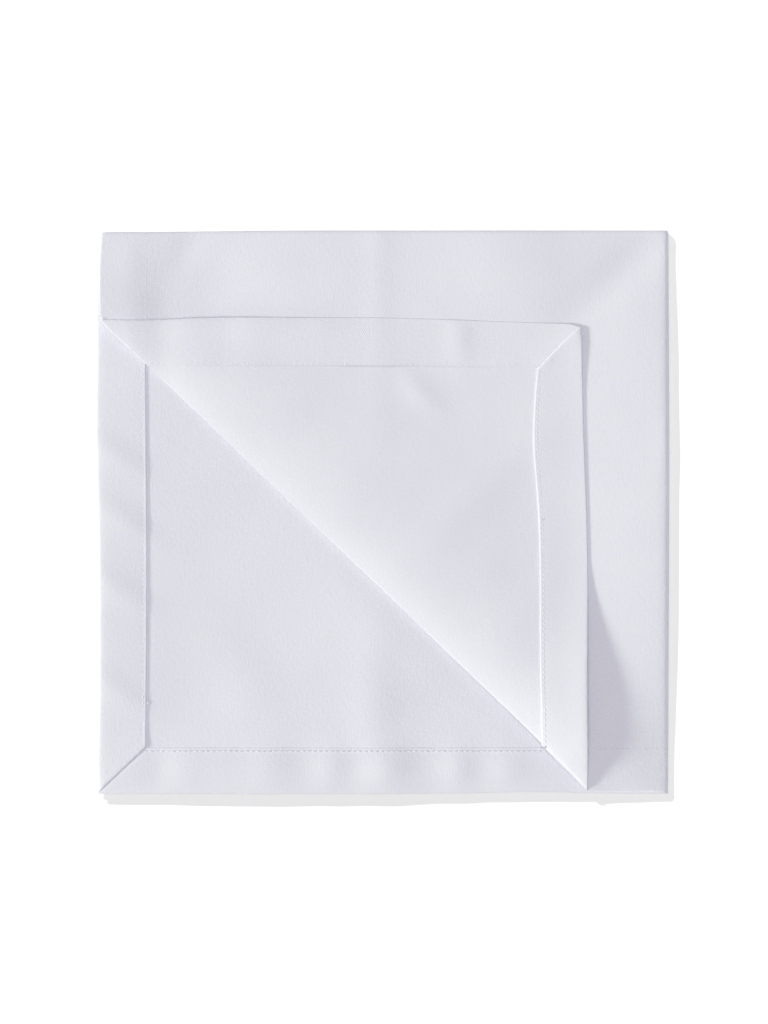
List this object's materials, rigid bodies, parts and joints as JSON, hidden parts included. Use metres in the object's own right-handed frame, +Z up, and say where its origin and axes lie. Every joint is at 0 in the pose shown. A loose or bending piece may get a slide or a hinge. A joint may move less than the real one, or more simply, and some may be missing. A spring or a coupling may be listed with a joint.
{
  "type": "cloth napkin",
  "caption": "Square hemmed cloth napkin folded in quarters, with the corner of its top leaf turned back over the diagonal to show the mitred hem.",
  "frame": {"origin": "middle of the folded napkin's outline, on the surface it lies on", "axes": "+Z up off the surface; +X towards the second fold and +Y towards the first, so the free corners of all four leaves lie at -X, -Y"},
  "size_m": [0.251, 0.2485, 0.0088],
  "materials": {
    "napkin_cloth": "plain woven cool white cloth, soft sheen"
  },
  "bodies": {
    "root": {"napkin": "napkin_cloth"}
  },
  "joints": []
}
